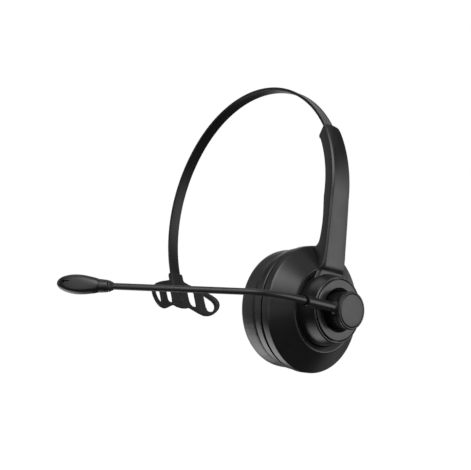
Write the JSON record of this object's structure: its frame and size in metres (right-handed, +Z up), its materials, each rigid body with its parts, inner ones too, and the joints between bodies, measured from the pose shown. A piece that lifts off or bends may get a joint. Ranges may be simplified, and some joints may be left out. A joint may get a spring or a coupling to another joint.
{
  "type": "office headset",
  "caption": "Single-ear office headset: padded ear cup with a fixed arm, sliding headband strap ending in a rubber T-bar, and a swinging bent microphone boom with a push button.",
  "frame": {"origin": "middle of the ear cushion's contact face, where the cup meets the wearer's ear", "axes": "+X outward along the cup axis, +Z up the arch, -Y towards the wearer's mouth"},
  "size_m": [0.1578, 0.1531, 0.1587],
  "materials": {
    "body_black": "fine satin texture",
    "key_black": "satin",
    "boom_black": "satin",
    "strap_black": "satin coated spring steel",
    "tbar_rubber": "soft matt",
    "rubber": "matt",
    "leatherette": "fine grained leatherette over foam",
    "cloth": "acoustic cloth",
    "inner_plastic": "plain moulded",
    "steel": "plain",
    "brass": "turned",
    "copper_wire": "insulated wire pair",
    "board_green": "solder mask",
    "pouch": "laminated pouch",
    "light_pipe": "clear"
  },
  "bodies": {
    "cup": {"ear_cushion": "leatherette", "cushion_plate": "inner_plastic", "speaker_cloth": "cloth", "baffle": "inner_plastic", "speaker_frame": "steel", "speaker_cone": "inner_plastic", "speaker_magnet": "steel", "front_ring": "body_black", "parting_ring": "rubber", "housing_shell": "body_black", "circuit_board": "board_green", "battery": "pouch", "charge_port": "steel", "port_tongue": "inner_plastic", "status_light": "light_pipe", "key_switches": "inner_plastic", "arm_shell": "body_black", "arm_cover": "body_black", "arm_screws": "steel", "hub_cover": "body_black", "pivot_bush": "brass", "friction_washer": "rubber"},
    "headband": {"headband_strap": "strap_black", "strap_stop": "steel", "t_bar": "tbar_rubber"},
    "boom": {"boom_knob": "body_black", "pivot_shaft": "steel", "retaining_clip": "steel", "button_switch": "steel", "boom_socket": "body_black", "socket_ring": "rubber", "boom_tube": "boom_black", "boom_wire": "copper_wire", "mic_ring": "boom_black", "mic_collar": "body_black", "mic_shell": "body_black", "mic_grille": "steel", "mic_element": "steel"},
    "call_key": {"call_button": "key_black"},
    "volume_up": {"volume_up_key": "key_black"},
    "volume_down": {"volume_down_key": "key_black"},
    "power_switch": {"power_slider": "key_black"}
  },
  "joints": [
    {"name": "boom_swing", "type": "hinge", "parent": "cup", "child": "boom", "pos_m": [0.046, 0, 0], "axis": [1, 0, 0], "range_deg": [-70, 250]},
    {"name": "strap_adjust", "type": "hinge", "parent": "cup", "child": "headband", "pos_m": [-0.0367, 0, 0.0576], "axis": [0, -1, 0], "range_deg": [-4, 16]},
    {"name": "call_button_press", "type": "slide", "parent": "boom", "child": "call_key", "axis": [-1, 0, 0], "range_m": [0, 0.0005], "stiffness_N_per_m": 2500, "springref_m": -0.0003},
    {"name": "volume_up_press", "type": "slide", "parent": "cup", "child": "volume_up", "axis": [0, -0.6428, -0.766], "range_m": [0, 0.0005], "stiffness_N_per_m": 2000, "springref_m": -0.0003},
    {"name": "volume_down_press", "type": "slide", "parent": "cup", "child": "volume_down", "axis": [0, -0.9272, -0.3746], "range_m": [0, 0.0005], "stiffness_N_per_m": 2000, "springref_m": -0.0003},
    {"name": "power_slide", "type": "slide", "parent": "cup", "child": "power_switch", "axis": [0, 0.1392, 0.9903], "range_m": [0, 0.003]}
  ]
}
